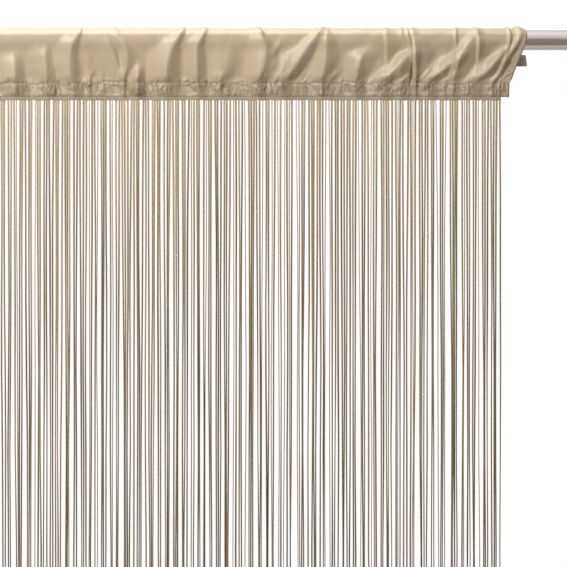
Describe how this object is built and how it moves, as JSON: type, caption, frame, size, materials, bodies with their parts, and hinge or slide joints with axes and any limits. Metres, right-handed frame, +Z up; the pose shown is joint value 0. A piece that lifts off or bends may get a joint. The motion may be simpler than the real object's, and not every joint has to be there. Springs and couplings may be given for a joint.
{
  "type": "string curtain on a rod",
  "caption": "String curtain: a gathered sateen rod pocket with fine hanging strings, on a satin steel rod held by wall brackets.",
  "frame": {"origin": "on the wall plane, midway between the two brackets and level with the rod's axis", "axes": "+X to the right as seen from the room, +Z up, +Y into the wall; the curtain's face looks along -Y"},
  "size_m": [1.02, 0.0898, 2.004],
  "materials": {
    "sateen": "soft sateen sheen",
    "yarn": "matte twisted yarn",
    "satin_steel": "satin",
    "dark_metal": "satin paint",
    "dark_plastic": "satin"
  },
  "bodies": {
    "root": {"heading": "sateen", "string_fringe": "yarn", "rod": "satin_steel", "bracket_left": "dark_metal", "bracket_right": "dark_metal", "clamp_screw_left": "dark_plastic", "clamp_screw_right": "dark_plastic"}
  },
  "joints": []
}
